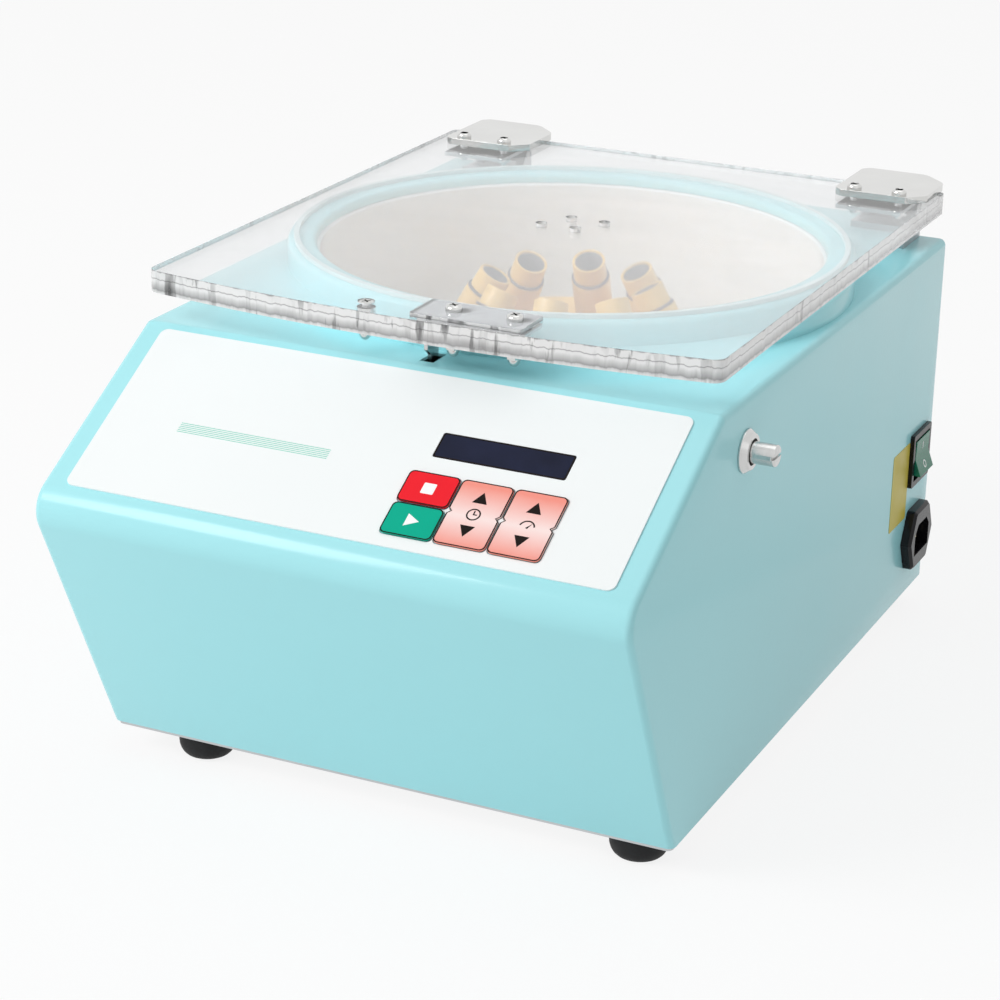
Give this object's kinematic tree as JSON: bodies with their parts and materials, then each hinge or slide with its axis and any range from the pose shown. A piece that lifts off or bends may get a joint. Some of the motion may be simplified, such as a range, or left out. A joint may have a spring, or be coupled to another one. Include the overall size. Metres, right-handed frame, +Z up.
{
  "type": "bench centrifuge",
  "caption": "Bench centrifuge with a clear hinged lid, angled tube rotor, sloping key panel, mains switch and lid release.",
  "frame": {"origin": "middle of the bottom of the whole part, on the surface that its feet stand on", "axes": "+Y from the front to the back, +Z up, +X towards the side with the mains inlet and the lid release"},
  "size_m": [0.3156, 0.4559, 0.2459],
  "materials": {
    "aqua_paint": "gloss powder coat",
    "white_paint": "gloss white",
    "sheet_steel": "satin",
    "bright_plate": "polished",
    "zinc": "zinc plated",
    "hinge_alloy": "satin",
    "motor_paint": "satin paint",
    "black_rubber": "matte",
    "clear_seal": "soft",
    "label_film": "smooth film",
    "dark_window": "gloss",
    "circuit_board": "matte",
    "red_key": "smooth film",
    "green_key": "smooth film",
    "salmon_key": "smooth film",
    "laminations": "varnished",
    "black_plastic": "moulded",
    "green_lens": "translucent",
    "pin_brass": "nickel plated",
    "clear_acrylic": "clear",
    "gold_alloy": "anodised"
  },
  "bodies": {
    "base": {"housing": "aqua_paint", "rear_cover": "aqua_paint", "housing_screws": "zinc", "base_plate": "sheet_steel", "rubber_feet": "black_rubber", "control_label": "label_film", "display_window": "dark_window", "display_module": "circuit_board", "key_board": "circuit_board", "standoffs": "zinc", "bowl": "white_paint", "bowl_collar": "aqua_paint", "lid_seal": "clear_seal", "shaft_boot": "black_rubber", "motor_body": "motor_paint", "motor_bearings": "sheet_steel", "motor_plate": "sheet_steel", "plate_mounts": "black_rubber", "plate_bolts": "zinc", "mount_pillars": "sheet_steel", "transformer": "laminations", "controller_board": "circuit_board", "rocker_bezel": "black_plastic", "mains_inlet": "black_plastic", "inlet_pins": "pin_brass", "release_bezel": "sheet_steel", "latch_guides": "zinc", "hinge_base_left": "hinge_alloy", "hinge_base_right": "hinge_alloy", "hinge_pins": "sheet_steel", "hinge_base_screws": "zinc"},
    "lid": {"lid_panel": "clear_acrylic", "hinge_plate_left": "bright_plate", "hinge_plate_right": "bright_plate", "hinge_leaf_left": "hinge_alloy", "hinge_leaf_right": "hinge_alloy", "hinge_screws": "bright_plate", "striker_plate": "sheet_steel", "latch_pad": "clear_acrylic", "latch_screws": "bright_plate"},
    "rotor": {"motor_shaft": "sheet_steel", "rotor_dish": "gold_alloy", "tube_holders": "gold_alloy", "rotor_nut": "zinc", "tube_sleeve_1": "gold_alloy", "tube_sleeve_2": "gold_alloy", "tube_sleeve_3": "gold_alloy", "tube_sleeve_4": "gold_alloy", "tube_sleeve_5": "gold_alloy", "tube_sleeve_6": "gold_alloy", "tube_sleeve_7": "gold_alloy", "tube_sleeve_8": "gold_alloy"},
    "latch": {"release_plunger": "sheet_steel", "latch_rod": "sheet_steel", "latch_finger": "zinc"},
    "stop_key": {"stop_key": "red_key"},
    "start_key": {"start_key": "green_key"},
    "time_key": {"time_key": "salmon_key"},
    "speed_key": {"speed_key": "salmon_key"},
    "switch_paddle": {"rocker_paddle": "green_lens"}
  },
  "joints": [
    {"name": "lid_hinge", "type": "hinge", "parent": "base", "child": "lid", "pos_m": [-0.00785, 0.20299, 0.2223], "axis": [-1, 0, 0], "range_deg": [0, 95]},
    {"name": "rotor_spin", "type": "hinge", "parent": "base", "child": "rotor", "pos_m": [-0.00785, 0.04329, 0.146], "axis": [0, 0, 1], "continuous": true},
    {"name": "latch_slide", "type": "slide", "parent": "base", "child": "latch", "axis": [1, 0, 0], "range_m": [-0.008, 0]},
    {"name": "switch_tilt", "type": "hinge", "parent": "base", "child": "switch_paddle", "pos_m": [0.13915, 0.18699, 0.096], "axis": [0, 1, 0], "range_deg": [0, 18]},
    {"name": "stop_press", "type": "slide", "parent": "base", "child": "stop_key", "axis": [0, 0.4967, -0.8679], "range_m": [0, 0.0005], "stiffness_N_per_m": 800},
    {"name": "start_press", "type": "slide", "parent": "base", "child": "start_key", "axis": [0, 0.4967, -0.8679], "range_m": [0, 0.0005], "stiffness_N_per_m": 800},
    {"name": "time_rock", "type": "hinge", "parent": "base", "child": "time_key", "pos_m": [0.05355, -0.19755, 0.1741], "axis": [1, 0, 0], "range_deg": [-1.5, 1.5], "stiffness_Nm_per_rad": 0.5},
    {"name": "speed_rock", "type": "hinge", "parent": "base", "child": "speed_key", "pos_m": [0.07975, -0.19755, 0.1741], "axis": [1, 0, 0], "range_deg": [-1.5, 1.5], "stiffness_Nm_per_rad": 0.5}
  ]
}
